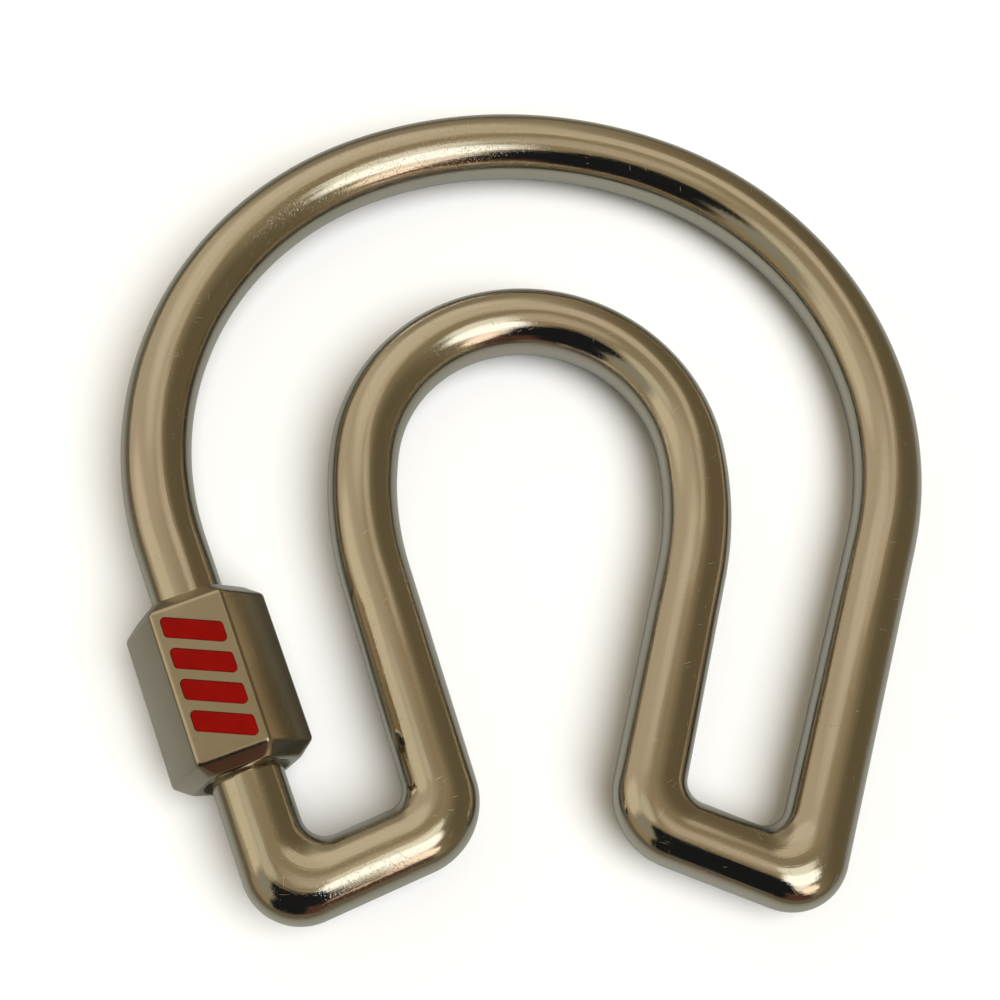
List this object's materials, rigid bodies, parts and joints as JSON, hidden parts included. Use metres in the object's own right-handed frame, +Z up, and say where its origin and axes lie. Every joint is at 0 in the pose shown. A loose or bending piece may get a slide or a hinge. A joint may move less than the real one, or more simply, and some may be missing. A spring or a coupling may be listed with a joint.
{
  "type": "screw-lock key ring",
  "caption": "Horseshoe-shaped key ring of round bar, its gate closed by a hexagonal screw sleeve with enamel stripes.",
  "frame": {"origin": "middle of the bounding box's underside, where the lying ring rests", "axes": "+X to the right, +Y towards the crown, +Z up out of the ring's plane; the open mouth and the two feet point along -Y"},
  "size_m": [0.0588, 0.0614, 0.0091],
  "materials": {
    "bar_metal": "mirror-polished pale champagne-nickel plating with fine handling scratches",
    "sleeve_metal": "satin-polished pale champagne-nickel plating",
    "thread_metal": "machined thread, plated",
    "enamel": "flush red enamel, softly glossy",
    "nylon": "dark nylon"
  },
  "bodies": {
    "ring": {"ring_bar": "bar_metal", "upper_threaded_end": "thread_metal", "lower_threaded_end": "thread_metal"},
    "lock_ring": {"friction_ring": "nylon"},
    "sleeve": {"hex_sleeve": "sleeve_metal", "enamel_stripe_1": "enamel", "enamel_stripe_2": "enamel", "enamel_stripe_3": "enamel", "enamel_stripe_4": "enamel"}
  },
  "joints": [
    {"name": "sleeve_travel", "type": "slide", "parent": "ring", "child": "lock_ring", "axis": [-0.314, 0.9494, 0], "range_m": [0, 0.006]},
    {"name": "sleeve_turn", "type": "hinge", "parent": "lock_ring", "child": "sleeve", "pos_m": [-0.02223, -0.01506, 0.00457], "axis": [-0.314, 0.9494, 0], "range_deg": [0, 4320]}
  ],
  "couplings": [
    {"joint": "sleeve_turn", "follows": "sleeve_travel", "rad_per_m": 12566}
  ]
}
